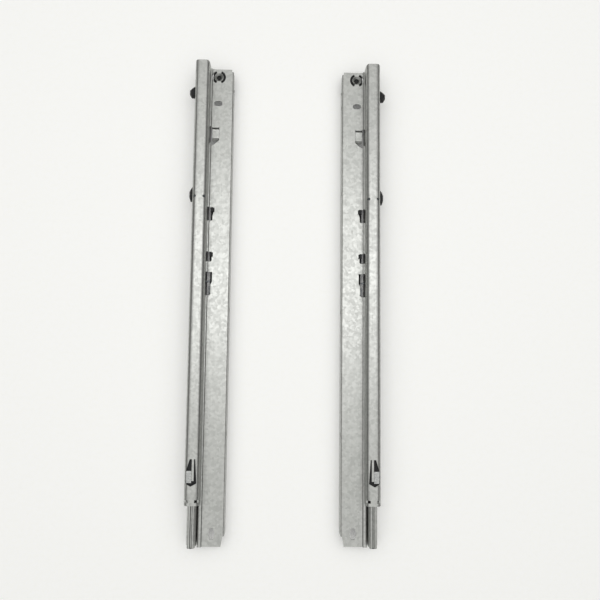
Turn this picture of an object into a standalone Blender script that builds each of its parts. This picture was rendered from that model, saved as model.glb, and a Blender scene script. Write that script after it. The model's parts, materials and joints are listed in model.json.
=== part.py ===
"""Concealed full-extension cabinet drawer slides, a left and right pair.

Metres, +Z up, +Y towards the front of the cabinet. The origin is at the middle of the
pair, on the surface that it lies on. Each slide is drawn once in its own coordinates:
u across (0 on the drawer rail's centre line, + towards the side leg), v back from the
front edge of the cabinet rail's web, and z up. The right slide is the mirror image.
"""

from math import cos, pi, radians, sin, sqrt, tau

import bmesh
import bpy
from mathutils import Vector

# Lengths along the slide
CABINET_L = 0.500        # cabinet rail's web, front edge to rear edge
FRONT_LEAD = 0.0028      # drawer rail's front end ahead of the web
DRAWER_SETBACK = 0.0435  # drawer rail's rear end ahead of the web's rear edge
MIDDLE_FRONT = 0.044     # middle rail's front end behind the web's front edge
MIDDLE_SETBACK = 0.002   # middle rail's rear end ahead of the web's rear edge
LEG_FRONT = 0.0025       # leg's front end behind the web's front edge
LEG_SETBACK = 0.010      # leg's rear end ahead of the web's rear edge
STAGE_TRAVEL = 0.230     # run of each of the two telescoping stages

# Widths and heights
PAIR_GAP = 0.118         # between the two legs' outer faces
LEG_REACH = 0.0315       # drawer rail's centre line to the leg's outer face
DRAWER_W = 0.0155
DRAWER_H = 0.0132
SHOULDER_R = 0.0045      # of the drawer rail's upper bends, at mid-thickness
LIP = 0.0018             # drawer rail's lower lips, inward from the wall's middle
WEB_TOP = 0.016
BEAD_H = 0.002           # raised edge of the web above its top
BEAD_W = 0.002           # between the raised edge's two walls, at mid-thickness
FOOT_W = 0.006           # middle rail's lower race, outside
SHEET = 0.0012
CAGE_SHEET = 0.0006
BALL_D = 0.0025
BEND_R = 0.0010          # of ordinary sheet bends, at mid-thickness

STRAIGHT = radians(178)  # a turn of the path flatter than this needs no point

# Clearances
BALL_FIT = 0.00025       # ball to race
SEAT_GAP = 0.0003        # pieces that touch
RUN_GAP = 0.0008         # drawer rail over the raised edge
CAGE_GAP = 0.00035       # lower cage over the track's floor
FOOT_GAP = 0.00125       # middle rail's foot over the lower cage
ROOF_GAP = 0.0006        # upper cage under the drawer rail's top
RIDGE_GAP = 0.0007       # middle rail's ridges under the upper cage
TRAY_GAP = 0.0005        # closer housing under the web
LIP_GAP = 0.0007         # track's upper edge beside the middle rail

# Ball cages
LOWER_CAGE_L, UPPER_CAGE_L = 0.150, 0.110
CAGE_WALL = 0.0075            # height of a lower cage's walls above its floor
POCKETS = 6                   # on each side of a cage
CAGE_STOP_GAP = 0.003         # lower cage to its front buffer, with the slide fully out
CAGE_INSET = 0.009            # upper cage behind the middle rail's end, fully out
BUFFER_V, BUFFER_L = 0.003, 0.004

# Cabinet rail's punched features: u, v and sizes
BOSS_U, BOSS_V = 0.0158, 0.0088
BOSS_R, BOSS_SLOT_R, BOSS_BORE = 0.0048, 0.0074, 0.0027
BOSS_DROP = 0.0026            # seat's foot below the web's top
PLUG_GAP, PLUG_FLOOR = 0.0006, 0.0020
BOSS_BRIDGE = radians(24)     # half angle of each bridge that holds the boss
OVAL_U, OVAL_V, OVAL_W, OVAL_D = 0.0156, 0.0383, 0.0090, 0.0056
LANCE_V, LANCE_L, LANCE_EDGE = 0.0643, 0.0204, 0.0175
REAR_SLOT_U, REAR_SLOT_BACK = 0.0189, 0.0127
REAR_SLOT_W, REAR_SLOT_L = 0.0068, 0.0108
WINDOWS = (                   # front, length, edge at the front, edge at the rear
    (0.1520, 0.0147, 0.0132, 0.0123),
    (0.1998, 0.0105, 0.0126, 0.0126),
    (0.2212, 0.0248, 0.0134, 0.0119),
)
LEG_STEP_V, LEG_STEP_Z = 0.0205, 0.0050
LEG_HOLES = (0.037, 0.133, 0.261, 0.389)
LEG_HOLE_D = 0.0052
LEG_NICK_V = 0.0834

# Soft-close unit under the web
TRAY_V, TRAY_L, TRAY_WALL = 0.146, 0.182, 0.0012
TRAY_SIDE_GAP = 0.0012        # tray to the leg, and to the raised edge
TRAY_FOOT = 0.0010            # tray's underside above the floor
CLOSER_TRAVEL = 0.013
CARRIAGE_V, CARRIAGE_L = 0.2345, 0.0110
FIN_W, FIN_L = 0.0016, 0.0070
DAMPER_R, DAMPER_L, ROD_R, ROD_IN = 0.0040, 0.052, 0.0013, 0.030
DAMPER_GAP = 0.0006
SPRING_R, SPRING_WIRE, SPRING_TURNS = 0.0022, 0.00040, 14
ANCHOR_R = 0.0010

# Drawer rail's features
SIDE_GUIDES = (               # front, length, reach
    ("front_guide", 0.0235, 0.0122, 0.0058),
    ("second_guide", 0.1325, 0.0158, 0.0034),
)
GUIDE_H = 0.0062
RIVET_V, RIVET_R, RIVET_U = 0.1442, 0.0012, 0.0048
STOP_L, STOP_SHEET = 0.013, 0.0009
HOOK_BACK = 0.0455            # hook opening's front edge ahead of the rail's rear end
HOOK_L, HOOK_POINT = 0.0236, 0.0032
TONGUE_U, TONGUE_W, TONGUE_L = 0.0009, 0.0021, 0.0212
BLOCK_L, BLOCK_RIBS, RIB_H = 0.0118, 4, 0.0005
PLATE_H = 0.0007              # plate under the hook's opening
NOTCH_BACK, NOTCH_L, NOTCH_LAND = 0.0058, 0.0028, 0.0030
NICKS = (0.2378, 0.2486)
TAB_V, TAB_L, TAB_REACH = 0.2308, 0.0018, 0.0038

# Values that follow
HALF = SHEET / 2
FRONT_Y = (CABINET_L - FRONT_LEAD) / 2
SLIDE_X = PAIR_GAP / 2 + LEG_REACH
REAR = CABINET_L
DRAWER_REAR = CABINET_L - DRAWER_SETBACK
MIDDLE_REAR = CABINET_L - MIDDLE_SETBACK
BALL_R = BALL_D / 2
LOWER_BALL_U = FOOT_W / 2 + BALL_FIT + BALL_R
TRACK_U = LOWER_BALL_U + BALL_R + BALL_FIT + HALF       # track wall at the race
PINCH = SHEET * 0.4                                     # how far a race is rolled in
FLOOR_TOP = SHEET
CAGE_FLOOR = FLOOR_TOP + CAGE_GAP + CAGE_SHEET / 2
FOOT_Z = CAGE_FLOOR + CAGE_SHEET / 2 + FOOT_GAP
LOWER_BALL_Z = FOOT_Z + 0.0034
BEAD_TOP = WEB_TOP + BEAD_H
BEAD_U = TRACK_U + BEAD_W                               # outer wall of the raised edge
WEB_U = BEAD_U + HALF                                   # where the flat web starts
RAIL_FOOT = BEAD_TOP + RUN_GAP
RAIL_TOP = RAIL_FOOT + DRAWER_H
WALL_U = DRAWER_W / 2 - HALF                            # drawer rail's walls
FLAT_U = WALL_U - SHOULDER_R                            # half its flat top
UPPER_BALL_U = DRAWER_W / 2 - SHEET - BALL_FIT - BALL_R
HEAD_U = UPPER_BALL_U - BALL_R - BALL_FIT - HALF        # middle rail's upper race
CAGE_ROOF = RAIL_TOP - SHEET - ROOF_GAP - CAGE_SHEET / 2
RIDGE_Z = CAGE_ROOF - CAGE_SHEET / 2 - RIDGE_GAP - HALF
UPPER_BALL_Z = RIDGE_Z - 0.0042
TRAY_U = (WEB_U + TRAY_SIDE_GAP, LEG_REACH - SHEET - TRAY_SIDE_GAP)
TRAY_TOP = WEB_TOP - SHEET - TRAY_GAP
TRAY_REAR = TRAY_V + TRAY_L
MECH_Z = TRAY_FOOT + TRAY_WALL + SEAT_GAP + DAMPER_R
DAMPER_U = TRAY_U[0] + TRAY_WALL + DAMPER_GAP + DAMPER_R
SPRING_U = TRAY_U[1] - TRAY_WALL - DAMPER_GAP - SPRING_R - SPRING_WIRE
CARRIAGE_REAR = CARRIAGE_V + CARRIAGE_L
LIP_U = HEAD_U + PINCH + HALF + LIP_GAP + HALF          # track's upper edge by the middle rail
DAMPER_V = TRAY_REAR - TRAY_WALL - SEAT_GAP - DAMPER_L
ANCHOR_V = TRAY_REAR - TRAY_WALL - 2 * ANCHOR_R
HOOK_V = DRAWER_REAR - HOOK_BACK
LOWER_CAGE = (BUFFER_V + BUFFER_L + STAGE_TRAVEL / 2 + CAGE_STOP_GAP, LOWER_CAGE_L)
UPPER_CAGE = (MIDDLE_FRONT + STAGE_TRAVEL / 2 + CAGE_INSET, UPPER_CAGE_L)

# Colour, roughness and metallic value of each material
FINISHES = {
    "zinc_plated_steel": ((0.56, 0.58, 0.59), 0.34, 1.0),
    "bright_steel": ((0.62, 0.63, 0.64), 0.26, 1.0),
    "spring_steel": ((0.40, 0.41, 0.42), 0.30, 1.0),
    "dark_nylon": ((0.030, 0.032, 0.035), 0.50, 0.0),
    "grey_acetal": ((0.22, 0.22, 0.22), 0.42, 0.0),
    "black_rubber": ((0.018, 0.018, 0.018), 0.75, 0.0),
}


def finish(name):
    """The named material, made once."""
    if name in bpy.data.materials:
        return bpy.data.materials[name]
    colour, roughness, metallic = FINISHES[name]
    material = bpy.data.materials.new(name)
    material.use_nodes = True
    shader = material.node_tree.nodes["Principled BSDF"]
    shader.inputs["Base Color"].default_value = (*colour, 1)
    shader.inputs["Roughness"].default_value = roughness
    shader.inputs["Metallic"].default_value = metallic
    return material


def at(v):
    """The y of a place v back from the web's front edge."""
    return FRONT_Y - v


# Outlines


def box(low_a, high_a, low_b, high_b):
    return [(low_a, low_b), (high_a, low_b), (high_a, high_b), (low_a, high_b)]


def arc(centre, radius, start, end, steps):
    """Points on an arc, both ends included, angles in radians."""
    turns = [start + (end - start) * i / steps for i in range(steps + 1)]
    return [(centre[0] + radius * cos(t), centre[1] + radius * sin(t)) for t in turns]


def disc(centre, radius, steps=16):
    return arc(centre, radius, 0, tau * (steps - 1) / steps, steps - 1)


def rounded(path, radius, steps=3):
    """An open path with its inner corners rounded to the radius, or less where a leg is short."""
    points = [Vector(p) for p in path]
    out = [points[0]]
    for before, corner, after in zip(points, points[1:], points[2:]):
        back, ahead = before - corner, after - corner
        turn = back.angle(ahead)
        if turn > STRAIGHT:
            continue
        reach = min(radius / max(1e-6, abs(sin(turn / 2) / cos(turn / 2))),
                    back.length * 0.45, ahead.length * 0.45)
        first = corner + back.normalized() * reach
        last = corner + ahead.normalized() * reach
        for i in range(steps + 1):
            s = i / steps
            out.append(first * (1 - s) ** 2 + corner * 2 * s * (1 - s) + last * s * s)
    out.append(points[-1])
    return out


def sheet(path, thickness):
    """The outline of a strip of sheet whose middle follows the path."""
    points = [Vector(p) for p in path]
    left, right = [], []
    for i, point in enumerate(points):
        steps = [points[i] - points[i - 1]] if i else []
        if i < len(points) - 1:
            steps.append(points[i + 1] - points[i])
        normals = [Vector((-s.y, s.x)).normalized() for s in steps]
        middle = sum(normals, Vector((0, 0))).normalized()
        offset = middle * (thickness / 2 / middle.dot(normals[0]))
        left.append(point + offset)
        right.append(point - offset)
    return [tuple(p) for p in left + right[::-1]]


def both_sides(half_path):
    """A symmetrical path from its right half, which ends on the centre line."""
    return [(-u, z) for u, z in half_path] + half_path[-2::-1]


JOIN, CUT = "UNION", "DIFFERENCE"

# Solids: each is a function that adds one closed shell to a bmesh


def prism(outline, axis, low, high):
    """The outline along an axis. Its two coordinates are the other two axes in the order u, y, z."""
    def place(point, level):
        a, b = point
        return {"u": (level, a, b), "y": (a, level, b), "z": (a, b, level)}[axis]

    def build(bm):
        ends = [[bm.verts.new(place(p, level)) for p in outline] for level in (low, high)]
        bm.faces.new(ends[0])
        bm.faces.new(ends[1][::-1])
        for i in range(len(outline)):
            j = (i + 1) % len(outline)
            bm.faces.new((ends[0][i], ends[1][i], ends[1][j], ends[0][j]))
    return build


def loft(levels):
    """A solid through outlines of as many points each, given with their heights."""
    def build(bm):
        rings = [[bm.verts.new((*p, z)) for p in outline] for outline, z in levels]
        bm.faces.new(rings[0])
        bm.faces.new(rings[-1][::-1])
        for one, other in zip(rings, rings[1:]):
            for i in range(len(one)):
                j = (i + 1) % len(one)
                bm.faces.new((one[i], other[i], other[j], one[j]))
    return build


def turned(centre, axis, profile, steps=16, tube=False):
    """A turned piece: (radius, height) points round a line through the centre along the axis."""
    def place(radius, height, turn):
        a, b = radius * cos(turn), radius * sin(turn)
        return Vector(centre) + Vector({"u": (height, a, b), "y": (a, height, b), "z": (a, b, height)}[axis])

    def build(bm):
        rings = [[bm.verts.new(place(r, h, tau * i / steps)) for i in range(steps)] for r, h in profile]
        pairs = list(zip(rings, rings[1:]))
        if tube:
            pairs.append((rings[-1], rings[0]))
        else:
            bm.faces.new(rings[0])
            bm.faces.new(rings[-1][::-1])
        for one, other in pairs:
            for i in range(steps):
                j = (i + 1) % steps
                bm.faces.new((one[i], other[i], other[j], one[j]))
    return build


def rod(centre, axis, radius, low, high, steps=16):
    return turned(centre, axis, [(radius, low), (radius, high)], steps)


# Objects


class Slide:
    """One slide of the pair. side is -1 for the left one and +1 for the right one."""

    def __init__(self, name, side):
        self.name = name
        self.mirror = -side
        self.holder = bpy.data.objects.new(f"{name}_slide", None)
        self.holder.location = (side * SLIDE_X, 0, 0)
        bpy.context.scene.collection.objects.link(self.holder)

    def mesh_object(self, name, shells):
        """An object made of closed shells, faces pointing out."""
        bm = bmesh.new()
        for shell in shells:
            shell(bm)
        for vert in bm.verts:
            vert.co.x *= self.mirror
        bmesh.ops.recalc_face_normals(bm, faces=bm.faces)
        mesh = bpy.data.meshes.new(name)
        bm.to_mesh(mesh)
        bm.free()
        obj = bpy.data.objects.new(name, mesh)
        obj.parent = self.holder
        bpy.context.scene.collection.objects.link(obj)
        return obj

    def tool(self, target, operation, shells):
        """A hidden shape that is joined to the target or cut out of it."""
        cutter = self.mesh_object(f"{target.name}_{operation.lower()}", shells)
        cutter.hide_render = True
        cutter.display_type = "WIRE"
        step = target.modifiers.new(operation.title(), "BOOLEAN")
        step.operation = operation
        step.solver = "EXACT"
        step.object = cutter

    def piece(self, name, shell, material, steps=(), smooth=False):
        """One sub-part: its main shell, then what is joined to it or cut out of it, in order."""
        obj = self.mesh_object(f"{self.name}_{name}", [shell])
        obj.data.materials.append(finish(material))
        for operation, shells in steps:
            self.tool(obj, operation, shells)
        if smooth:
            obj.data.shade_smooth()
            obj.data.set_sharp_from_angle(angle=radians(35))
        return obj


# Cabinet rail


def track_path():
    """From the leg's foot, over the web and its raised edge, and round the ball track."""
    inner = TRACK_U - PINCH
    low, high = LOWER_BALL_Z - BALL_R, LOWER_BALL_Z + BALL_R
    top = BEAD_TOP - HALF
    return [
        (LEG_REACH - HALF, 0),
        (LEG_REACH - HALF, WEB_TOP - HALF),
        (BEAD_U, WEB_TOP - HALF),
        (BEAD_U, top),
        (LIP_U, top),
        (LIP_U, high + 0.0056),
        (TRACK_U, high + 0.0034),
        (TRACK_U, high + 0.0022),
        (inner, high + 0.0012),
        (TRACK_U, high),
        (TRACK_U, low),
        (inner, low - 0.0010),
        (inner, HALF),
        (-inner, HALF),
        (-inner, low - 0.0010),
        (-TRACK_U, low),
        (-TRACK_U, high),
        (-inner, high + 0.0012),
        (-inner, high + 0.0026),
    ]


def crescent(side):
    """Half of the slot round the boss, on its + or - side."""
    half = pi / 2 - BOSS_BRIDGE
    middle = 0 if side > 0 else pi
    centre = (BOSS_U, at(BOSS_V))
    outer = arc(centre, BOSS_SLOT_R, middle - half, middle + half, 8)
    inner = arc(centre, BOSS_R, middle + half, middle - half, 8)
    return outer + inner


def cabinet_rail(slide):
    deep, over = WEB_TOP - 0.0030, BEAD_TOP + 0.001
    past_wall = LIP_U - HALF - 0.0006
    bend = LEG_REACH - SHEET
    boss = (BOSS_U, at(BOSS_V), 0)
    boss_foot = WEB_TOP - BOSS_DROP
    seat = turned(boss, "z", [(BOSS_R - 0.0009, boss_foot), (BOSS_R - 0.0002, WEB_TOP - HALF)])
    tab_end = LANCE_V + LANCE_L * 0.68
    tab = sheet(rounded([(at(LANCE_V - 0.0012), WEB_TOP - HALF),
                         (at(LANCE_V + 0.0003), WEB_TOP - HALF),
                         (at(LANCE_V + 0.0016), WEB_TOP - HALF - 0.0022),
                         (at(tab_end - 0.0030), WEB_TOP - HALF - 0.0023),
                         (at(tab_end), WEB_TOP - HALF - 0.0045)], 0.0012), SHEET * 0.9)
    dimple = turned((LEG_REACH, at(LEG_STEP_V + 0.0012), WEB_TOP * 0.62), "u",
                    [(0.0020, -HALF), (0.0018, 0.0004), (0.0010, 0.0009)], 12)
    lance_rear = LANCE_V + LANCE_L
    cuts = [prism(crescent(side), "z", deep, over) for side in (-1, 1)]
    cuts.append(turned(boss, "z", [(BOSS_BORE, boss_foot - 0.001), (BOSS_BORE, WEB_TOP - 0.0016),
                                   (BOSS_R - 0.0001, WEB_TOP + 0.0001)]))
    ends = OVAL_W / 2 - OVAL_D / 2
    oval = (arc((OVAL_U + ends, at(OVAL_V)), OVAL_D / 2, -pi / 2, pi / 2, 8)
            + arc((OVAL_U - ends, at(OVAL_V)), OVAL_D / 2, pi / 2, 3 * pi / 2, 8))
    cuts.append(prism(oval, "z", deep, over))
    point_u = (LANCE_EDGE + past_wall) / 2
    cuts.append(prism([(past_wall, at(LANCE_V)), (LANCE_EDGE, at(LANCE_V)),
                       (LANCE_EDGE, at(lance_rear - 0.0060)), (point_u, at(lance_rear)),
                       (past_wall, at(lance_rear - 0.0050))], "z", deep, over))
    for front, length, edge, rear_edge in WINDOWS:
        waist = front + length * 0.42
        cuts.append(prism([(past_wall, at(front)), (edge, at(front)), (edge, at(waist)),
                           (rear_edge, at(waist + 0.0030)),
                           (rear_edge, at(front + length - 0.0012)),
                           (rear_edge - 0.0012, at(front + length)),
                           (past_wall, at(front + length))], "z", deep, over))
    slot_v = REAR - REAR_SLOT_BACK
    half_w, half_l = REAR_SLOT_W / 2, REAR_SLOT_L / 2
    cuts.append(prism([(REAR_SLOT_U + half_w, at(slot_v)),
                       (REAR_SLOT_U + half_w * 0.5, at(slot_v - half_l)),
                       (REAR_SLOT_U - half_w * 0.5, at(slot_v - half_l)),
                       (REAR_SLOT_U - half_w, at(slot_v)),
                       (REAR_SLOT_U - half_w * 0.5, at(slot_v + half_l)),
                       (REAR_SLOT_U + half_w * 0.5, at(slot_v + half_l))], "z", deep, over))
    leg_rear = REAR - LEG_SETBACK
    past_leg, before, behind = LEG_REACH + 0.002, -0.001, REAR + 0.001
    cuts.append(prism([(bend - 0.0002, at(leg_rear)), (past_leg, at(leg_rear)),
                       (past_leg, at(behind)), (bend - 0.0022, at(behind))],
                      "z", -0.001, over))
    cuts.append(prism([(at(LEG_STEP_V), -0.001), (at(LEG_STEP_V), LEG_STEP_Z),
                       (at(LEG_FRONT), LEG_STEP_Z), (at(LEG_FRONT), over),
                       (at(before), over), (at(before), -0.001)], "u", bend - 0.0005, past_leg))
    cuts.append(prism(box(bend + SHEET * 0.4, past_leg, at(LEG_NICK_V + 0.0010), at(LEG_NICK_V)),
                      "z", WEB_TOP - 0.0016, over))
    for v in LEG_HOLES:
        cuts.append(prism(disc((at(v), WEB_TOP / 2), LEG_HOLE_D / 2, 12),
                          "u", bend - 0.001, past_leg))
    section = sheet(rounded(track_path(), BEND_R), SHEET)
    slide.piece("cabinet_rail", prism(section, "y", at(REAR), at(0)), "zinc_plated_steel",
                [(JOIN, [seat]), (JOIN, [dimple]), (CUT, cuts),
                 (JOIN, [prism(tab, "u", WEB_U + 0.0006, LANCE_EDGE - 0.0006)])], smooth=True)


# Middle rail


def middle_rail(slide):
    foot, head = FOOT_W / 2 - HALF, HEAD_U
    low, high = LOWER_BALL_Z - BALL_R, LOWER_BALL_Z + BALL_R
    ridge = head - 0.0006
    half = [
        (foot + PINCH, FOOT_Z),
        (foot + PINCH, low - 0.0008),
        (foot, low + 0.0002),
        (foot, high - 0.0002),
        (foot + PINCH, high + 0.0008),
        (foot + PINCH, high + 0.0030),
        (head + PINCH, high + 0.0046),
        (head + PINCH, UPPER_BALL_Z - BALL_R - 0.0008),
        (head, UPPER_BALL_Z - BALL_R + 0.0002),
        (head, UPPER_BALL_Z + BALL_R - 0.0002),
        (head + PINCH, UPPER_BALL_Z + BALL_R + 0.0008),
        (ridge, RIDGE_Z),
        (ridge - 0.0010, RIDGE_Z),
        (0.0008, RIDGE_Z - 0.0018),
        (0, RIDGE_Z - 0.0018),
    ]
    path = both_sides(half)
    section = sheet(rounded(path, BEND_R * 0.7), SHEET)
    slide.piece("middle_rail", prism(section, "y", at(MIDDLE_REAR), at(MIDDLE_FRONT)),
                "zinc_plated_steel", smooth=True)


# Drawer rail


def drawer_rail(slide):
    top, foot = RAIL_TOP - HALF, RAIL_FOOT + HALF
    bend_z = top - SHOULDER_R
    shoulder = arc((FLAT_U, bend_z), SHOULDER_R, 0, pi / 2, 6)
    lower = rounded([(WALL_U - LIP, foot), (WALL_U, foot), (WALL_U, bend_z)], BEND_R)
    half = [tuple(p) for p in lower[:-1]] + shoulder + [(0, top)]
    section = sheet(both_sides(half), SHEET)
    over, side = RAIL_TOP + 0.001, DRAWER_W / 2 + 0.001
    front, rear = at(-FRONT_LEAD), at(DRAWER_REAR)
    cuts = []
    hook_rear = HOOK_V + HOOK_L
    edge = DRAWER_W / 2 - 0.0014
    tongue_left, tongue_right = TONGUE_U - TONGUE_W / 2, TONGUE_U + TONGUE_W / 2
    tongue_rear = HOOK_V + TONGUE_L
    # the opening runs round the tongue, which stays attached at the front
    opening = [
        (tongue_left - 0.0022, at(HOOK_V)), (tongue_left, at(HOOK_V)),
        (tongue_left, at(tongue_rear)), (tongue_right, at(tongue_rear)),
        (tongue_right, at(HOOK_V)), (tongue_right + 0.0012, at(HOOK_V)),
        (tongue_right + 0.0028, at(hook_rear)), (-0.0011, at(hook_rear + HOOK_POINT)),
        (-edge, at(hook_rear)), (-edge + 0.0004, at(HOOK_V + HOOK_L * 0.5)),
    ]
    cuts.append(prism(opening, "z", RIDGE_Z + HALF + 0.0002, over))
    notch_v = DRAWER_REAR - NOTCH_BACK
    for way in (-1, 1):
        ends = sorted((way * NOTCH_LAND, way * side))
        cuts.append(prism(box(*ends, at(notch_v + NOTCH_L), at(notch_v)),
                          "z", bend_z + SHOULDER_R * 0.55, over))
    for v in NICKS:
        cuts.append(prism(box(-side, -DRAWER_W / 2 + 0.0006, at(v + 0.0008), at(v)),
                          "z", RAIL_FOOT + DRAWER_H * 0.4, over))
    # front corners: a round one towards the leg and a small bevel on the other side
    half_w, corner = DRAWER_W / 2, 0.0030
    round_corner = arc((half_w - corner, front - corner), corner, 0, pi / 2, 6)
    cuts.append(prism([(side, front - corner), *round_corner, (half_w - corner, front + 0.001),
                       (side, front + 0.001)], "z", RAIL_FOOT - 0.001, over))
    cuts.append(prism([(-side, front - 0.0020), (-half_w, front - 0.0010),
                       (-half_w + 0.0010, front), (-half_w + 0.0010, front + 0.001),
                       (-side, front + 0.001)], "z", RAIL_FOOT - 0.001, over))
    for way in (-1, 1):
        cuts.append(rod((way * RIVET_U, at(RIVET_V), 0), "z",
                        RIVET_R + SEAT_GAP, RIDGE_Z + HALF, over, 10))
    slide.piece("drawer_rail", prism(section, "y", rear, front), "zinc_plated_steel",
                [(CUT, cuts)], smooth=True)


def side_guides(slide):
    """Moulded lugs on the drawer rail's outer wall: pointed at the front, rounded over on top."""
    wall = -DRAWER_W / 2 - SEAT_GAP
    low = UPPER_BALL_Z - GUIDE_H * 0.6
    for name, front, length, reach in SIDE_GUIDES:
        def outline(share, inset):
            out = wall - reach * share
            start, end = front + inset, front + length - inset * 0.5
            run = end - start
            return [(wall, at(start)), (wall * 0.45 + out * 0.55, at(start + run * 0.16)),
                    (out, at(start + run * 0.38)), (out, at(start + run * 0.72)),
                    (wall * 0.35 + out * 0.65, at(end)), (wall, at(end))]
        levels = [(outline(0.92, 0.0004), low), (outline(1, 0), low + GUIDE_H * 0.2),
                  (outline(0.96, 0.0002), low + GUIDE_H * 0.6),
                  (outline(0.55, 0.0012), low + GUIDE_H)]
        slide.piece(name, loft(levels), "dark_nylon", smooth=True)


def hook_block(slide):
    """The ribbed block beside the hook tongue, and the plate under the opening that carries it."""
    left = -DRAWER_W / 2 + 0.0014 + SEAT_GAP + 0.0004
    right = TONGUE_U - TONGUE_W / 2 - SEAT_GAP
    rear = HOOK_V + HOOK_L - SEAT_GAP
    front = rear - BLOCK_L
    plate_foot = RIDGE_Z + HALF + SEAT_GAP
    plate_top = plate_foot + PLATE_H
    foot, top = plate_top + SEAT_GAP, RAIL_TOP - 0.0004
    pitch = BLOCK_L / (BLOCK_RIBS * 2 + 1)
    outline = [(at(front), foot), (at(front), top)]
    for i in range(BLOCK_RIBS):
        start = front + pitch * (2 * i + 1)
        outline += [(at(start), top), (at(start), top - RIB_H),
                    (at(start + pitch), top - RIB_H), (at(start + pitch), top)]
    outline += [(at(rear), top), (at(rear), foot)]
    slide.piece("hook_block", prism(outline, "u", left, right), "bright_steel")
    half_w = HEAD_U + HALF + 0.0014
    slide.piece("hook_plate", prism(box(-half_w, half_w, at(HOOK_V + HOOK_L + HOOK_POINT + 0.0014),
                                        at(HOOK_V - 0.0014)), "z", plate_foot, plate_top),
                "dark_nylon")


def cage_stop(slide):
    """The stop for the upper cage and the two rivets that hold it under the drawer rail's top."""
    bend_z = RAIL_TOP - HALF - SHOULDER_R
    radius = SHOULDER_R - HALF - SEAT_GAP - STOP_SHEET / 2
    half = arc((FLAT_U, bend_z), radius, radians(18), pi / 2, 5) + [(0, bend_z + radius)]
    section = sheet(both_sides(half), STOP_SHEET)
    slide.piece("cage_stop", prism(section, "y", at(RIVET_V + STOP_L / 2),
                                   at(RIVET_V - STOP_L / 2)), "dark_nylon", smooth=True)
    # the rivets stand on the stop's rounded back and end flush with the shoulder
    back = sqrt((radius + STOP_SHEET / 2) ** 2 - (RIVET_U - RIVET_R - FLAT_U) ** 2)
    foot = bend_z + back + SEAT_GAP
    top = bend_z + sqrt((SHOULDER_R + HALF) ** 2 - (RIVET_U - FLAT_U) ** 2)
    for name, way in (("rivet_outer", -1), ("rivet_inner", 1)):
        profile = [(RIVET_R, foot), (RIVET_R, top - 0.0002), (RIVET_R * 0.6, top)]
        slide.piece(name, turned((way * RIVET_U, at(RIVET_V), 0), "z", profile, 10),
                    "spring_steel", smooth=True)


def closer_tab(slide):
    """The steel tab beside the drawer rail's foot, which the closer's catch holds."""
    inner = DRAWER_W / 2 + SEAT_GAP
    slide.piece("closer_tab", prism(box(inner, inner + TAB_REACH, at(TAB_V + TAB_L), at(TAB_V)),
                                    "z", RAIL_FOOT, RAIL_FOOT + SHEET), "bright_steel")


# Ball cages


def pocket_places(cage):
    """How far back each pocket of a cage is."""
    front, length = cage
    pitch = length / POCKETS
    return [front + pitch * (i + 0.5) for i in range(POCKETS)]


def pocket_cuts(cage, u, z):
    """Round pockets through both walls of a cage."""
    reach = u + CAGE_SHEET
    return [prism(disc((at(v), z), BALL_R + 0.0001, 12), "u", -reach, reach)
            for v in pocket_places(cage)]


def cages(slide):
    front, length = LOWER_CAGE
    wall = [(LOWER_BALL_U, CAGE_FLOOR + CAGE_WALL), (LOWER_BALL_U, CAGE_FLOOR), (0, CAGE_FLOOR)]
    section = sheet(rounded(both_sides(wall), BEND_R), CAGE_SHEET)
    slide.piece("lower_ball_cage", prism(section, "y", at(front + length), at(front)),
                "bright_steel",
                [(CUT, pocket_cuts(LOWER_CAGE, LOWER_BALL_U, LOWER_BALL_Z))], smooth=True)
    front, length = UPPER_CAGE
    wall = [(UPPER_BALL_U, UPPER_BALL_Z - BALL_R - 0.0009),
            (UPPER_BALL_U, UPPER_BALL_Z + BALL_R + 0.0016),
            (FLAT_U + 0.0005, CAGE_ROOF), (0, CAGE_ROOF)]
    section = sheet(rounded(both_sides(wall), BEND_R), CAGE_SHEET)
    slide.piece("upper_ball_cage", prism(section, "y", at(front + length), at(front)),
                "bright_steel",
                [(CUT, pocket_cuts(UPPER_CAGE, UPPER_BALL_U, UPPER_BALL_Z))], smooth=True)


def buffers(slide):
    """Rubber blocks at the track's ends, which the lower cage stops against."""
    half_w, top = FOOT_W / 2 + 0.0006, FOOT_Z - 0.0004
    for name, front in (("front_buffer", BUFFER_V), ("rear_buffer", REAR - BUFFER_V - BUFFER_L)):
        slide.piece(name, prism(box(-half_w, half_w, at(front + BUFFER_L), at(front)),
                                "z", FLOOR_TOP + SEAT_GAP, top), "black_rubber")


# Soft-close unit


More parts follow.
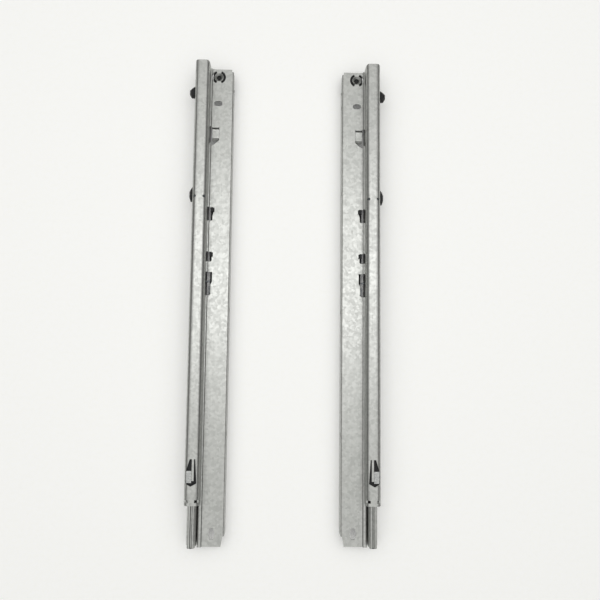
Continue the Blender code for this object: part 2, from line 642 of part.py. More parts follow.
def closer_housing(slide):
    left, right = TRAY_U
    inner_left, inner_right = left + TRAY_WALL, right - TRAY_WALL
    floor = TRAY_FOOT + TRAY_WALL
    shell = prism(box(left, right, at(TRAY_REAR), at(TRAY_V)), "z", TRAY_FOOT, TRAY_TOP)
    inside = prism(box(inner_left, inner_right, at(TRAY_REAR - TRAY_WALL), at(TRAY_V + TRAY_WALL)),
                   "z", floor, TRAY_TOP + 0.001)
    clips = []
    for window_front, _, edge, _ in WINDOWS[:2]:
        clip_front = window_front + 0.0008
        clip_u = left + 0.0010
        hook = WEB_TOP + SEAT_GAP
        outline = [(left, TRAY_TOP - 0.002), (clip_u, TRAY_TOP - 0.002), (clip_u, hook),
                   (edge + 0.0012, hook), (edge + 0.0008, hook + 0.0007), (left, hook + 0.0011)]
        clips.append(prism(outline, "y", at(clip_front + 0.0044), at(clip_front)))
    travel_front = CARRIAGE_V - CLOSER_TRAVEL - 0.001
    gate = prism(box(left - 0.001, inner_left + 0.001, at(CARRIAGE_REAR + 0.001), at(travel_front)),
                 "z", MECH_Z, TRAY_TOP + 0.001)
    ribs = [prism(box(inner_left - 0.0003, inner_right + 0.0003, at(v + 0.0010), at(v)),
                  "z", floor - 0.0003, floor + 0.0030)
            for v in (TRAY_V + 0.018, TRAY_V + 0.038, TRAY_V + 0.056)]
    slide.piece("closer_housing", shell, "dark_nylon",
                [(CUT, [inside]), (JOIN, clips), (JOIN, ribs), (CUT, [gate])])


def closer_carriage(slide):
    left, right = TRAY_U[0] + TRAY_WALL + DAMPER_GAP, TRAY_U[1] - TRAY_WALL - DAMPER_GAP
    foot = TRAY_FOOT + TRAY_WALL + SEAT_GAP
    fin_left = WINDOWS[2][3] - SEAT_GAP - FIN_W
    fin_v = CARRIAGE_V + (CARRIAGE_L - FIN_L) / 2
    top = TRAY_TOP - 0.0006
    fin_top = RAIL_FOOT - 0.0004
    fin = prism([(fin_left, MECH_Z + 0.0010), (left + 0.0006, MECH_Z + 0.0010),
                 (left + 0.0006, TRAY_TOP - 0.0002), (fin_left + FIN_W, TRAY_TOP - 0.0002),
                 (fin_left + FIN_W, fin_top), (fin_left, fin_top)],
                "y", at(fin_v + FIN_L), at(fin_v))
    catch = prism(box(fin_left - 0.001, fin_left + FIN_W + 0.001,
                      at(fin_v + FIN_L * 0.68), at(fin_v + FIN_L * 0.32)),
                  "z", fin_top - 0.0016, fin_top + 0.001)
    hole = rod((SPRING_U, at(CARRIAGE_REAR), MECH_Z), "y", SPRING_R + SPRING_WIRE + SEAT_GAP,
               -0.001, 0.0035, 12)
    slide.piece("closer_carriage",
                prism(box(left, right, at(CARRIAGE_REAR), at(CARRIAGE_V)), "z", foot, top),
                "grey_acetal", [(JOIN, [fin]), (CUT, [catch, hole])])


def damper(slide):
    centre = (DAMPER_U, 0, MECH_Z)
    front, rear = at(DAMPER_V), at(DAMPER_V + DAMPER_L)
    bore = ROD_R + SEAT_GAP
    depth = at(DAMPER_V + ROD_IN + 0.004)
    profile = [(DAMPER_R, rear), (DAMPER_R, front - 0.0008), (DAMPER_R - 0.0006, front),
               (bore, front), (bore, depth), (0.0002, depth), (0.0002, rear)]
    slide.piece("damper_cylinder", turned(centre, "y", profile, tube=True), "grey_acetal",
                smooth=True)
    slide.piece("damper_rod", rod(centre, "y", ROD_R, at(DAMPER_V + ROD_IN),
                                  at(CARRIAGE_REAR + SEAT_GAP), 12), "bright_steel", smooth=True)


def closer_spring(slide):
    """A close-wound helix from the carriage to its anchor."""
    start, end = CARRIAGE_REAR - 0.0025, ANCHOR_V - ANCHOR_R - SEAT_GAP - SPRING_WIRE
    steps = 8
    count = SPRING_TURNS * steps
    curve = bpy.data.curves.new(f"{slide.name}_closer_spring", "CURVE")
    curve.dimensions = "3D"
    curve.bevel_depth = SPRING_WIRE
    curve.bevel_resolution = 0
    curve.use_fill_caps = True
    spline = curve.splines.new("POLY")
    spline.points.add(count)
    for i in range(count + 1):
        turn = slide.mirror * tau * i / steps
        place = (slide.mirror * SPRING_U + SPRING_R * cos(turn),
                 at(start + (end - start) * i / count), MECH_Z + SPRING_R * sin(turn))
        spline.points[i].co = (*place, 1)
    curve.materials.append(finish("spring_steel"))
    obj = bpy.data.objects.new(f"{slide.name}_closer_spring", curve)
    obj.parent = slide.holder
    bpy.context.scene.collection.objects.link(obj)


def front_plug(slide):
    """A moulded plug under the web, round the seat of the front screw."""
    half = BOSS_SLOT_R + 0.0004
    left, right = max(WEB_U + PLUG_GAP, BOSS_U - half), BOSS_U + half
    front, rear = max(PLUG_GAP, BOSS_V - half), BOSS_V + half
    top = WEB_TOP - SHEET - SEAT_GAP
    seat_foot = WEB_TOP - BOSS_DROP - SEAT_GAP
    seat = rod((BOSS_U, at(BOSS_V), 0), "z", BOSS_R + SEAT_GAP, seat_foot, top + 0.001)
    slide.piece("front_plug", prism(box(left, right, at(rear), at(front)), "z",
                                    seat_foot - PLUG_FLOOR, top), "dark_nylon", [(CUT, [seat])])


def spring_anchor(slide):
    foot = TRAY_FOOT + TRAY_WALL + SEAT_GAP
    slide.piece("spring_anchor", rod((SPRING_U, at(ANCHOR_V), 0), "z", ANCHOR_R, foot,
                                     TRAY_TOP - 0.001, 12), "bright_steel", smooth=True)


def clear_scene():
    for obj in list(bpy.data.objects):
        bpy.data.objects.remove(obj)


def main():
    clear_scene()
    for name, side in (("left", -1), ("right", 1)):
        slide = Slide(name, side)
        cabinet_rail(slide)
        middle_rail(slide)
        drawer_rail(slide)
        side_guides(slide)
        hook_block(slide)
        cage_stop(slide)
        closer_tab(slide)
        cages(slide)
        buffers(slide)
        closer_housing(slide)
        closer_carriage(slide)
        damper(slide)
        closer_spring(slide)
        spring_anchor(slide)
        front_plug(slide)


main()
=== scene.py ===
"""Looks for a left and right pair of concealed cabinet drawer slides, laid out as an add-on."""

import json
from math import cos, radians, sin, tau

import bmesh
import bpy
from bpy.props import FloatProperty, FloatVectorProperty, IntProperty, PointerProperty
from mathutils import Matrix, Vector


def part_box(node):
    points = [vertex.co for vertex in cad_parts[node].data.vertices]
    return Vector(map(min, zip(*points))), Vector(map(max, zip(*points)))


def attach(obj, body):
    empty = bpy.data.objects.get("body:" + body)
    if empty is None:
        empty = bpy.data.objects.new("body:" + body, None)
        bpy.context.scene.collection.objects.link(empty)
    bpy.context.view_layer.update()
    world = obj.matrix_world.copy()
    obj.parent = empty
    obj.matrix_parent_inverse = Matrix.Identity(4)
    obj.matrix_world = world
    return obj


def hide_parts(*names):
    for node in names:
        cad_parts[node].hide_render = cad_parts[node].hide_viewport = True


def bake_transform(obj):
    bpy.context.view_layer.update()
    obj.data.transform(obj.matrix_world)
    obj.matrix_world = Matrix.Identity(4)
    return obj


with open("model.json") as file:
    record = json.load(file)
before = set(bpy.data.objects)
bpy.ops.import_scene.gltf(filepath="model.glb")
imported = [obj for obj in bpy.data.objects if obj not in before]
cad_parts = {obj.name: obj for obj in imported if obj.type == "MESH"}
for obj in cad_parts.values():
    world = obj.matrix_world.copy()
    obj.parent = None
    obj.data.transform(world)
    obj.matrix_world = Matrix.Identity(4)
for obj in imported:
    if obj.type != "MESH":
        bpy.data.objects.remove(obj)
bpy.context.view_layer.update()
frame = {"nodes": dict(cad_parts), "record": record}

bl_info = {
    "name": "Concealed drawer slides",
    "version": (1, 0, 0),
    "blender": (4, 5, 0),
    "location": "View3D > Sidebar > Drawer slides",
    "description": "Finishes and fine pieces for a pair of concealed drawer slides",
    "category": "Object",
}

SIDES = ("left", "right")
SLOTS = {row["node"]: row["material_slot"] for row in frame["record"]["subparts"]}
BODY_OF = {name: body for body, names in frame["record"]["behaviour"]["bodies"].items()
           for name in names}

# Balls and their cages
BALLS_A_SIDE = 6
BALL_R = 0.00125
CAGE_STRIP = 0.0006            # thickness of a cage's strip
LOWER_BALL_RISE = 0.00525      # balls' centres above the lower cage's underside
UPPER_BALL_RISE = 0.00215      # and above the upper cage's lowest edge

# The closer's tension spring
WIRE_R = 0.0004
COILS = 14
WIRE_SIDES = 8                 # faces round the wire

# Edges and shading
SEAM = 0.000002                # points closer than this are one
FLAT_ANGLE = radians(0.4)      # faces closer in angle than this are one flat face
CREASE_ANGLE = radians(35)     # edges sharper than this shade as creases
SHARP_ANGLE = radians(48)      # edges sharper than this are broken
SHORT_EDGE = 0.0009            # facets of a tight curve, too short to break
PRESSED_BREAK = 0.00012        # width of a broken edge on the small pressings,
MOULDED_BREAK = 0.00018        # on the closer's mouldings,
RUBBER_BREAK = 0.00035         # on the buffers
GUIDE_BREAK = 0.00040          # and on the guides
ROUND_STEPS = 3                # faces across a broad broken edge

# Floor
FLOOR_Z = -0.0001              # just under the slides
FLOOR_RINGS = (0.3, 0.8, 2.0, 6.0)
FLOOR_STEPS = 96
FLOOR_TOOTH = 0.004            # size of the board's tooth
FLOOR_LIFT = 0.11              # glow that stands for light from a wide white room


def linear(hex_value):
    """An sRGB hex colour as the linear values that shaders take."""
    parts = [((hex_value >> shift) & 255) / 255 for shift in (16, 8, 0)]
    return tuple(p / 12.92 if p <= 0.04045 else ((p + 0.055) / 1.055) ** 2.4 for p in parts)


def colour(name, description, hex_value):
    """A colour property, from an sRGB hex value."""
    return FloatVectorProperty(name=name, description=description, default=linear(hex_value),
                               subtype="COLOR", size=3, min=0, max=1)


def length(name, description, default):
    """A length property, in metres."""
    return FloatProperty(name=name, description=description, default=default, min=0,
                         subtype="DISTANCE", unit="LENGTH", precision=5)


# What a user would change


class SheetProps(bpy.types.PropertyGroup):
    """Galvanised sheet of the rails."""

    light: colour("Light zinc", "The brightest crystals of the zinc", 0xB6B7B4)
    dark: colour("Dark zinc", "The dullest crystals of the zinc", 0xA2A3A0)
    # real crystals are about 1 mm wide and rolling lines 0.1 mm apart: both are coarser to show
    spangle: length("Spangle", "Width of a zinc crystal", 0.0024)
    grain: length("Rolling grain", "Distance between the fine lines of rolling", 0.0005)
    haze: length("Haze", "Size of the dull patches left by handling", 0.010)


class SteelProps(bpy.types.PropertyGroup):
    """Small steel pieces."""

    strip_light: colour("Strip, light", "Bright cold-rolled strip", 0xC9CBCD)
    strip_dark: colour("Strip, dark", "Cold-rolled strip in its rolling lines", 0xA3A6A9)
    plate_light: colour("Plating, light", "Bright zinc plating of the small pieces", 0xBDBEBD)
    plate_dark: colour("Plating, dark", "Plating where it is thin", 0x9FA1A0)
    wire_light: colour("Wire, light", "Drawn spring wire", 0x5A5C5E)
    wire_dark: colour("Wire, dark", "Spring wire in its drawing lines", 0x36393B)
    ball: colour("Balls", "Hardened and polished ball steel", 0xC8CACC)
    # real lines are about 0.05 mm apart, drawn coarser so that they show
    drawing: length("Drawing lines", "Distance between the lines of drawing", 0.0003)


class MouldedProps(bpy.types.PropertyGroup):
    """Moulded pieces."""

    nylon: colour("Glass-filled nylon", "The closer's housing, guides, plug and stops", 0x111213)
    acetal: colour("Acetal", "The damper and the closer's carriage", 0x85888A)
    rubber: colour("Rubber", "The end buffers", 0x17181A)
    # the real grain is about 0.1 mm, drawn coarser so that it shows
    texture: length("Mould texture", "Grain of the mould's spark-eroded face", 0.0006)


class RoundProps(bpy.types.PropertyGroup):
    """How finely the round pieces are drawn."""

    ball_steps: IntProperty(name="Ball steps", description="Faces round a ball", default=16,
                            min=8, max=48)
    wire_steps: IntProperty(name="Coil steps", description="Faces round one turn of a spring",
                            default=20, min=8, max=48)


class StageProps(bpy.types.PropertyGroup):
    """Floor, light and camera."""

    floor: colour("Floor", "Matt pale board", 0xF4F4F2)
    sky_high: FloatProperty(name="Light overhead", description="Strength of the light tent's top",
                            default=1.05, min=0)
    sky_low: FloatProperty(name="Light at the sides", description="Strength near the horizon",
                           default=0.08, min=0)
    key: FloatProperty(name="Softbox", description="Power of the overhead softbox", default=3.3,
                       min=0, unit="POWER")


# Materials

LINE_LENGTH = 0.045            # how far a rolling line runs on before it breaks
METAL_TONES = (0.26, 0.72)     # range of the mottle that goes from dark to light
METAL_DEPTH = 0.00006          # depth of the crystals and lines
FLOW_MARK = 0.011              # width of the slow shades left by the flow of the melt
MOULDED_TONES = (0.34, 0.66)
MOULDED_DEEP = 0.72            # how dark the deepest shade is, against the base colour
MOULDED_DEPTH = 0.00005        # depth of the mould's grain
MOULDED_SHEEN = 0.22           # a rough-eroded face scatters its sheen, so it stays weak


def node(tree, kind, inputs=(), **settings):
    """Adds a node, sets it, and fills or links its inputs."""
    made = tree.nodes.new(kind)
    for name, value in settings.items():
        setattr(made, name, value)
    for key, value in dict(inputs).items():
        if isinstance(value, bpy.types.NodeSocket):
            tree.links.new(value, made.inputs[key])
        else:
            made.inputs[key].default_value = value
    return made


def start_material(name, **uniform):
    """A material with its shader, its tree and the piece's own coordinates in metres."""
    material = bpy.data.materials.new(name)
    material.use_nodes = True
    tree = material.node_tree
    shader = tree.nodes["Principled BSDF"]
    for key, value in uniform.items():
        shader.inputs[key.replace("_", " ").title()].default_value = value
    place = node(tree, "ShaderNodeTexCoord").outputs["Object"]
    return material, tree, shader, place


def blend_colours(tree, factor, low, high):
    """A colour between two, by a value."""
    mixed = node(tree, "ShaderNodeMix", {0: factor, 6: (*low, 1), 7: (*high, 1)}, data_type="RGBA")
    return mixed.outputs[2]


def rolled_metal(name, light, dark, rough, crystal, grain, haze, relief):
    """Sheet or strip rolled along Y: crystals, lines along the length and dull patches.

    crystal, grain and haze are real widths in metres. The eye sees a fine mottle that
    changes in brightness, broken lengthwise by faint straight lines.
    """
    material, tree, shader, place = start_material(name, metallic=1.0)
    cells = node(tree, "ShaderNodeTexVoronoi", {"Vector": place, "Scale": 1 / crystal,
                                                "Randomness": 1.0})
    cell = node(tree, "ShaderNodeSeparateColor", {"Color": cells.outputs["Color"]})
    along = node(tree, "ShaderNodeMapping",
                 {"Vector": place, "Scale": (1 / grain, 1 / LINE_LENGTH, 1 / grain)})
    lines = node(tree, "ShaderNodeTexNoise", {"Vector": along.outputs[0], "Scale": 1.0,
                                              "Detail": 3.0, "Roughness": 0.6})
    dull = node(tree, "ShaderNodeTexNoise", {"Vector": place, "Scale": 1 / haze, "Detail": 5.0,
                                             "Roughness": 0.62})
    fine = node(tree, "ShaderNodeMix", {0: 0.45, 2: cell.outputs["Red"],
                                        3: lines.outputs["Fac"]})
    tone = node(tree, "ShaderNodeMix", {0: 0.34, 2: fine.outputs[0], 3: dull.outputs["Fac"]})
    low, high = METAL_TONES
    spread = node(tree, "ShaderNodeMapRange", {"Value": tone.outputs[0], "From Min": low,
                                               "From Max": high})
    # dull crystals are also the rougher ones
    surface = node(tree, "ShaderNodeMapRange", {"Value": tone.outputs[0], "From Min": low,
                                                "From Max": high, "To Min": rough + 0.07,
                                                "To Max": rough - 0.05})
    bump = node(tree, "ShaderNodeBump", {"Height": fine.outputs[0], "Strength": relief,
                                         "Distance": METAL_DEPTH})
    tree.links.new(blend_colours(tree, spread.outputs[0], dark, light),
                   shader.inputs["Base Color"])
    tree.links.new(surface.outputs[0], shader.inputs["Roughness"])
    tree.links.new(bump.outputs[0], shader.inputs["Normal"])
    return material


def moulded(name, base, rough, ior, texture, relief, bloom):
    """Injection-moulded polymer: a spark-eroded grain, slow shade changes and paler bloom."""
    material, tree, shader, place = start_material(name)
    shader.inputs["IOR"].default_value = ior
    shader.inputs["Specular IOR Level"].default_value = MOULDED_SHEEN
    grain = node(tree, "ShaderNodeTexNoise", {"Vector": place, "Scale": 1 / texture,
                                              "Detail": 2.0, "Roughness": 0.55})
    flow = node(tree, "ShaderNodeTexNoise", {"Vector": place, "Scale": 1 / FLOW_MARK,
                                             "Detail": 4.0, "Distortion": 0.8})
    both = node(tree, "ShaderNodeMix", {0: 0.5, 2: grain.outputs["Fac"], 3: flow.outputs["Fac"]})
    low, high = MOULDED_TONES
    spread = node(tree, "ShaderNodeMapRange", {"Value": both.outputs[0], "From Min": low,
                                               "From Max": high})
    pale = tuple(c + (1 - c) * bloom for c in base)
    deep = tuple(c * MOULDED_DEEP for c in base)
    surface = node(tree, "ShaderNodeMapRange", {"Value": both.outputs[0], "From Min": low,
                                                "From Max": high, "To Min": rough - 0.06,
                                                "To Max": rough + 0.08})
    bump = node(tree, "ShaderNodeBump", {"Height": grain.outputs["Fac"], "Strength": relief,
                                         "Distance": MOULDED_DEPTH})
    tree.links.new(blend_colours(tree, spread.outputs[0], deep, pale),
                   shader.inputs["Base Color"])
    tree.links.new(surface.outputs[0], shader.inputs["Roughness"])
    tree.links.new(bump.outputs[0], shader.inputs["Normal"])
    return material


def finishes(scene):
    """Every finish by the name of its slot, made once."""
    if "slide_finishes" in finishes.__dict__:
        return finishes.slide_finishes
    sheet, steel, mould = scene.slide_sheet, scene.slide_steel, scene.slide_moulded
    made = {
        # hot-dip zinc on bent sheet: a soft satin grey, mottled by crystals, duller where handled
        "zinc_plate": rolled_metal("galvanised_sheet_steel", sheet.light, sheet.dark, rough=0.36,
                                   crystal=sheet.spangle, grain=sheet.grain, haze=sheet.haze,
                                   relief=0.35),
        # electroplated zinc on a pressing: closer-grained, and brighter than the sheet
        "bright_steel": rolled_metal("bright_zinc_plated_pressing", steel.plate_light,
                                     steel.plate_dark, rough=0.26, crystal=0.0012,
                                     grain=0.0004, haze=0.007, relief=0.2),
        # a hammered, oiled head: dark, with small uneven glints
        "rivet_steel": rolled_metal("headed_rivet_steel", steel.wire_light, steel.wire_dark,
                                    rough=0.32, crystal=0.0006, grain=0.0003, haze=0.004,
                                    relief=0.4),
        # cold-rolled strip: bright, with straight lines along its length
        "cage_steel": rolled_metal("cold_rolled_cage_strip", steel.strip_light,
                                   steel.strip_dark, rough=0.25, crystal=0.0010,
                                   grain=steel.drawing, haze=0.010, relief=0.2),
        # drawn and oiled wire: dark grey, with a narrow streak of light along each coil
        "spring_steel": rolled_metal("drawn_spring_wire", steel.wire_light, steel.wire_dark,
                                     rough=0.28, crystal=0.0008, grain=steel.drawing,
                                     haze=0.005, relief=0.3),
        # lapped and hardened: near mirror, with only a trace of handling
        "balls": rolled_metal("polished_ball_steel", steel.ball, steel.strip_dark, rough=0.12,
                              crystal=0.0009, grain=0.0006, haze=0.003, relief=0.05),
        # near black, satin, with a faint grey bloom where the fibres come to the surface
        "dark_nylon": moulded("moulded_glass_filled_nylon", mould.nylon, rough=0.48, ior=1.53,
                              texture=mould.texture, relief=0.5, bloom=0.012),
        # smooth waxy grey, a little paler in patches
        "grey_acetal": moulded("moulded_acetal", mould.acetal, rough=0.36, ior=1.48,
                               texture=mould.texture, relief=0.25, bloom=0.08),
        # dull black with a dusty bloom
        "rubber": moulded("moulded_buffer_rubber", mould.rubber, rough=0.78, ior=1.52,
                          texture=mould.texture, relief=0.6, bloom=0.06),
    }
    finishes.slide_finishes = made
    return made


# Pieces


def dress(name, scene):
    """A CAD node that stays as it is, in its finish."""
    obj = frame["nodes"][name]
    obj.data.materials.clear()
    obj.data.materials.append(finishes(scene)[SLOTS[name]])
    obj.data.shade_smooth()
    obj.data.set_sharp_from_angle(angle=CREASE_ANGLE)
    return obj


def merged_copy(name, scene):
    """Stands for a node: its seams are merged, so that its bends shade smoothly."""
    mesh = frame["nodes"][name].data.copy()
    bm = bmesh.new()
    bm.from_mesh(mesh)
    bmesh.ops.remove_doubles(bm, verts=bm.verts, dist=SEAM)
    bmesh.ops.dissolve_limit(bm, angle_limit=FLAT_ANGLE, verts=bm.verts, edges=bm.edges)
    bmesh.ops.recalc_face_normals(bm, faces=bm.faces)
    # crisp() breaks the edges that are marked here
    broken = bm.edges.layers.float.new("bevel_weight_edge")
    for edge in bm.edges:
        if edge.calc_length() > SHORT_EDGE and edge.calc_face_angle(0) > SHARP_ANGLE:
            edge[broken] = 1
    bm.to_mesh(mesh)
    bm.free()
    mesh.materials.clear()
    mesh.materials.append(finishes(scene)[SLOTS[name]])
    mesh.shade_smooth()
    mesh.set_sharp_from_angle(angle=CREASE_ANGLE)
    obj = bpy.data.objects.new(name + "_deburred", mesh)
    scene.collection.objects.link(obj)
    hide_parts(name)
    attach(obj, BODY_OF[name])
    return obj


def smoothed(name, scene):
    """Bent sheet: round bends, and faces that stay flat up to them."""
    obj = merged_copy(name, scene)
    obj.modifiers.new("Flat faces", "WEIGHTED_NORMAL").keep_sharp = True
    return obj


def crisp(name, scene, width, segments=2, clamp=False):
    """A moulding or pressing with each sharp edge broken."""
    obj = merged_copy(name, scene)
    edges = obj.modifiers.new("Edge break", "BEVEL")
    edges.width = width
    edges.segments = segments
    edges.limit_method = "WEIGHT"
    edges.use_clamp_overlap = clamp
    edges.harden_normals = True
    return obj


def own_mesh(name, build, material):
    """A new, smooth mesh object from a function that fills a bmesh."""
    bm = bmesh.new()
    build(bm)
    mesh = bpy.data.meshes.new(name)
    bm.to_mesh(mesh)
    bm.free()
    mesh.materials.append(material)
    mesh.shade_smooth()
    obj = bpy.data.objects.new(name, mesh)
    bpy.context.scene.collection.objects.link(obj)
    return obj


def tube(bm, points, radius, steps):
    """A round wire along the points, with capped ends."""
    rings = []
    up = Vector((0, 0, 1))
    for i, point in enumerate(points):
        before, after = points[max(0, i - 1)], points[min(len(points) - 1, i + 1)]
        ahead = (after - before).normalized()
        side = ahead.cross(up)
        if side.length < 0.1:
            side = ahead.cross(Vector((1, 0, 0)))
        side.normalize()
        over = side.cross(ahead)
        rings.append([bm.verts.new(point + radius * (side * cos(tau * k / steps)
                                                     + over * sin(tau * k / steps)))
                      for k in range(steps)])
    bm.faces.new(rings[0])
    bm.faces.new(rings[-1][::-1])
    for one, other in zip(rings, rings[1:]):
        for k in range(steps):
            j = (k + 1) % steps
            bm.faces.new((one[k], other[k], other[j], one[j]))
    bmesh.ops.recalc_face_normals(bm, faces=bm.faces)


def add_ball(bm, place, steps):
    """A ball ring by ring from top to foot, so that its faces come in the same order each run."""
    rows = steps // 2
    rings = []
    for row in range(1, rows):
        tilt = tau / 2 * row / rows
        out, up = BALL_R * sin(tilt), BALL_R * cos(tilt)
        rings.append([bm.verts.new(place @ Vector((out * cos(tau * k / steps),
                                                   out * sin(tau * k / steps), up)))
                      for k in range(steps)])
    top = bm.verts.new(place @ Vector((0, 0, BALL_R)))
    foot = bm.verts.new(place @ Vector((0, 0, -BALL_R)))
    for k in range(steps):
        j = (k + 1) % steps
        bm.faces.new((top, rings[0][k], rings[0][j]))
        for one, other in zip(rings, rings[1:]):
            bm.faces.new((one[k], other[k], other[j], one[j]))
        bm.faces.new((rings[-1][k], foot, rings[-1][j]))


def balls(bm, cage, rise, steps):
    """The balls in a cage's pockets, in a row at each side of it."""
    low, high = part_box(cage)
    middle = (low.x + high.x) / 2
    reach = (high.x - low.x) / 2 - CAGE_STRIP / 2
    pitch = (high.y - low.y) / BALLS_A_SIDE
    for way in (-1, 1):
        for i in range(BALLS_A_SIDE):
            centre = Vector((middle + way * reach, low.y + pitch * (i + 0.5), low.z + rise))
            # each ball sits at its own angle, so that no two have their poles in line
            turn = Matrix.Rotation(0.7 * i + way, 4, "X") @ Matrix.Rotation(0.4 * i, 4, "Z")
            add_ball(bm, Matrix.Translation(centre) @ turn, steps)


# Operators


class SLIDES_OT_rails(bpy.types.Operator):
    """Cabinet, middle and drawer rails in galvanised sheet"""

    bl_idname = "slides.rails"
    bl_label = "Rails"

    def execute(self, context):
        for side in SIDES:
            for rail in ("cabinet_rail", "middle_rail", "drawer_rail"):
                smoothed(f"{side}_{rail}", context.scene)
        return {"FINISHED"}


class SLIDES_OT_hooks(bpy.types.Operator):
    """Hook blocks and plates, closer tabs, guides, rivets and the upper cages' stops"""

    bl_idname = "slides.hooks"
    bl_label = "Hooks, tabs, guides and rivets"

    def execute(self, context):
        for side in SIDES:
            crisp(f"{side}_hook_block", context.scene, PRESSED_BREAK)
            tab = crisp(f"{side}_closer_tab", context.scene, PRESSED_BREAK)
            # the tab takes the dark drawn-wire finish, so it is drawn darker than the plated rails
            tab.data.materials[0] = finishes(context.scene)["spring_steel"]
            for name in ("front_guide", "second_guide"):
                crisp(f"{side}_{name}", context.scene, GUIDE_BREAK, segments=ROUND_STEPS,
                      clamp=True)
            for name in ("rivet_outer", "rivet_inner", "cage_stop", "hook_plate"):
                dress(f"{side}_{name}", context.scene)
        return {"FINISHED"}


class SLIDES_OT_cages(bpy.types.Operator):
    """Ball cages and their balls"""

    bl_idname = "slides.cages"
    bl_label = "Ball cages"

    def execute(self, context):
        steps = context.scene.slide_rounds.ball_steps
        for side in SIDES:
            for level, rise in (("lower", LOWER_BALL_RISE), ("upper", UPPER_BALL_RISE)):
                cage = f"{side}_{level}_ball_cage"
                dress(cage, context.scene)
                made = own_mesh(f"{side}_{level}_balls",
                                lambda bm: balls(bm, cage, rise, steps),
                                finishes(context.scene)["balls"])
                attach(made, BODY_OF[cage])
        return {"FINISHED"}


class SLIDES_OT_closers(bpy.types.Operator):
    """Soft-close units: housing, carriage, damper and anchor, and the plugs at the front"""

    bl_idname = "slides.closers"
    bl_label = "Soft-close units"

    def execute(self, context):
        for side in SIDES:
            for name in ("closer_housing", "closer_carriage"):
                crisp(f"{side}_{name}", context.scene, MOULDED_BREAK)
            for name in ("damper_cylinder", "damper_rod", "spring_anchor", "front_plug"):
                dress(f"{side}_{name}", context.scene)
        return {"FINISHED"}


class SLIDES_OT_springs(bpy.types.Operator):
    """Tension springs of the soft-close units"""

    bl_idname = "slides.springs"
    bl_label = "Closer springs"

    def execute(self, context):
        steps = context.scene.slide_rounds.wire_steps
        for side in SIDES:
            name = f"{side}_closer_spring"
            low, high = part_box(name)
            radius = (high.z - low.z) / 2 - WIRE_R
            middle = (low + high) / 2
            points = []
            for i in range(COILS * steps + 1):
                share = i / (COILS * steps)
                turn = tau * COILS * share
                points.append(Vector((middle.x + radius * cos(turn),
                                      high.y - WIRE_R + (low.y - high.y + 2 * WIRE_R) * share,
                                      middle.z + radius * sin(turn))))
            made = own_mesh(f"{side}_closer_coil",
                            lambda bm: tube(bm, points, WIRE_R, WIRE_SIDES),
                            finishes(context.scene)["spring_steel"])
            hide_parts(name)
            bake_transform(made)
        return {"FINISHED"}


class SLIDES_OT_buffers(bpy.types.Operator):
    """Rubber buffers at the ends of the tracks"""

    bl_idname = "slides.buffers"
    bl_label = "Buffers"

    def execute(self, context):
        for side in SIDES:
            for name in ("front_buffer", "rear_buffer"):
                crisp(f"{side}_{name}", context.scene, RUBBER_BREAK, segments=ROUND_STEPS)
        return {"FINISHED"}


class SLIDES_OT_stage(bpy.types.Operator):
    """Pale floor, light tent, softbox and camera"""

    bl_idname = "slides.stage"
    bl_label = "Stage"

    def execute(self, context):
        scene, look = context.scene, context.scene.slide_stage
        make_floor(look)
        make_light(scene, look)
        make_camera(scene)
        return {"FINISHED"}


def make_floor(look):
    """A large round painted board: matt and nearly white, with a soft tooth to its face."""
    material, tree, shader, place = start_material("matt_painted_board", roughness=0.85)
    tooth = node(tree, "ShaderNodeTexNoise", {"Vector": place, "Scale": 1 / FLOOR_TOOTH,
                                              "Detail": 4.0})
    spread = node(tree, "ShaderNodeMapRange", {"Value": tooth.outputs["Fac"], "From Min": 0.3,
                                               "From Max": 0.7})
    base = tuple(look.floor)
    tree.links.new(blend_colours(tree, spread.outputs[0], tuple(c * 0.97 for c in base), base),
                   shader.inputs["Base Color"])
    shader.inputs["Emission Color"].default_value = (1, 1, 1, 1)
    shader.inputs["Emission Strength"].default_value = FLOOR_LIFT

    def build(bm):
        steps = FLOOR_STEPS
        last = [bm.verts.new((0, 0, FLOOR_Z))] * steps
        for radius in FLOOR_RINGS:
            ring = [bm.verts.new((radius * cos(tau * k / steps), radius * sin(tau * k / steps),
                                  FLOOR_Z)) for k in range(steps)]
            for k in range(steps):
                j = (k + 1) % steps
                corners = [last[k], ring[k], ring[j], last[j]]
                bm.faces.new(list(dict.fromkeys(corners)))
            last = ring

    own_mesh("studio_floor", build, material)


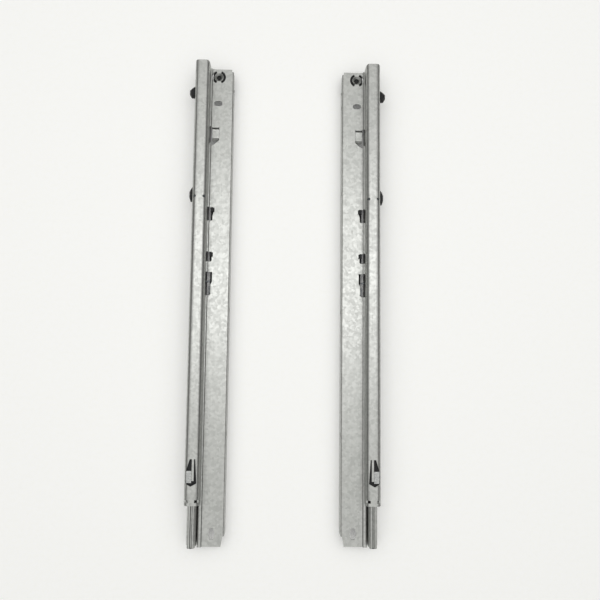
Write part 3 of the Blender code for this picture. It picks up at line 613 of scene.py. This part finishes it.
def make_light(scene, look):
    """A light tent that is bright overhead and darker at the sides, and a softbox in it."""
    world = bpy.data.worlds.new("light_tent")
    world.use_nodes = True
    tree = world.node_tree
    background = tree.nodes["Background"]
    way = node(tree, "ShaderNodeTexCoord").outputs["Generated"]
    height = node(tree, "ShaderNodeSeparateXYZ", {"Vector": way})
    # the dark band at the sides is what draws the dark lines along the bends
    level = node(tree, "ShaderNodeMapRange", {"Value": height.outputs["Z"], "From Min": 0.34,
                                              "From Max": 0.80, "To Min": look.sky_low,
                                              "To Max": look.sky_high},
                 interpolation_type="SMOOTHSTEP")
    background.inputs["Color"].default_value = (*linear(0xFFFFFD), 1)
    tree.links.new(level.outputs[0], background.inputs["Strength"])
    scene.world = world
    box = bpy.data.lights.new("overhead_softbox", "AREA")
    box.shape = "RECTANGLE"
    box.size, box.size_y = 1.3, 0.50
    box.energy = look.key
    lamp = bpy.data.objects.new("overhead_softbox", box)
    lamp.location = (0, 0.19, 1.2)
    scene.collection.objects.link(lamp)


def make_camera(scene):
    """A camera almost straight above, a little towards the rear."""
    lens = bpy.data.cameras.new("camera")
    lens.lens, lens.sensor_width = 36, 36
    camera = bpy.data.objects.new("camera", lens)
    camera.location = (-0.00392, -0.0595, 0.64217)
    camera.rotation_euler = (0.0929, -0.0318, 0.0106)
    scene.collection.objects.link(camera)
    scene.camera = camera
    scene.view_settings.view_transform = "Standard"


class SLIDES_PT_panel(bpy.types.Panel):
    """Lists the pieces and their settings"""

    bl_idname = "SLIDES_PT_panel"
    bl_label = "Drawer slides"
    bl_space_type = "VIEW_3D"
    bl_region_type = "UI"
    bl_category = "Drawer slides"

    def draw(self, context):
        layout = self.layout
        for group in GROUPS:
            settings = getattr(context.scene, group)
            for name in settings.__annotations__:
                layout.prop(settings, name)
        for step in STEPS:
            layout.operator(step.bl_idname)


GROUPS = {"slide_sheet": SheetProps, "slide_steel": SteelProps,
          "slide_moulded": MouldedProps, "slide_rounds": RoundProps,
          "slide_stage": StageProps}
STEPS = (SLIDES_OT_rails, SLIDES_OT_hooks, SLIDES_OT_cages, SLIDES_OT_closers,
         SLIDES_OT_springs, SLIDES_OT_buffers, SLIDES_OT_stage)
CLASSES = (*GROUPS.values(), *STEPS, SLIDES_PT_panel)


def register():
    """Registers the classes and the settings."""
    for item in CLASSES:
        bpy.utils.register_class(item)
    for name, group in GROUPS.items():
        setattr(bpy.types.Scene, name, PointerProperty(type=group))


def unregister():
    """Takes the settings and the classes away again."""
    for name in GROUPS:
        delattr(bpy.types.Scene, name)
    for item in reversed(CLASSES):
        bpy.utils.unregister_class(item)


def main():
    """Makes the pieces and the stage."""
    register()
    bpy.ops.slides.rails()
    bpy.ops.slides.hooks()
    bpy.ops.slides.cages()
    bpy.ops.slides.closers()
    bpy.ops.slides.springs()
    bpy.ops.slides.buffers()
    bpy.ops.slides.stage()


if __name__ == "__main__":
    main()
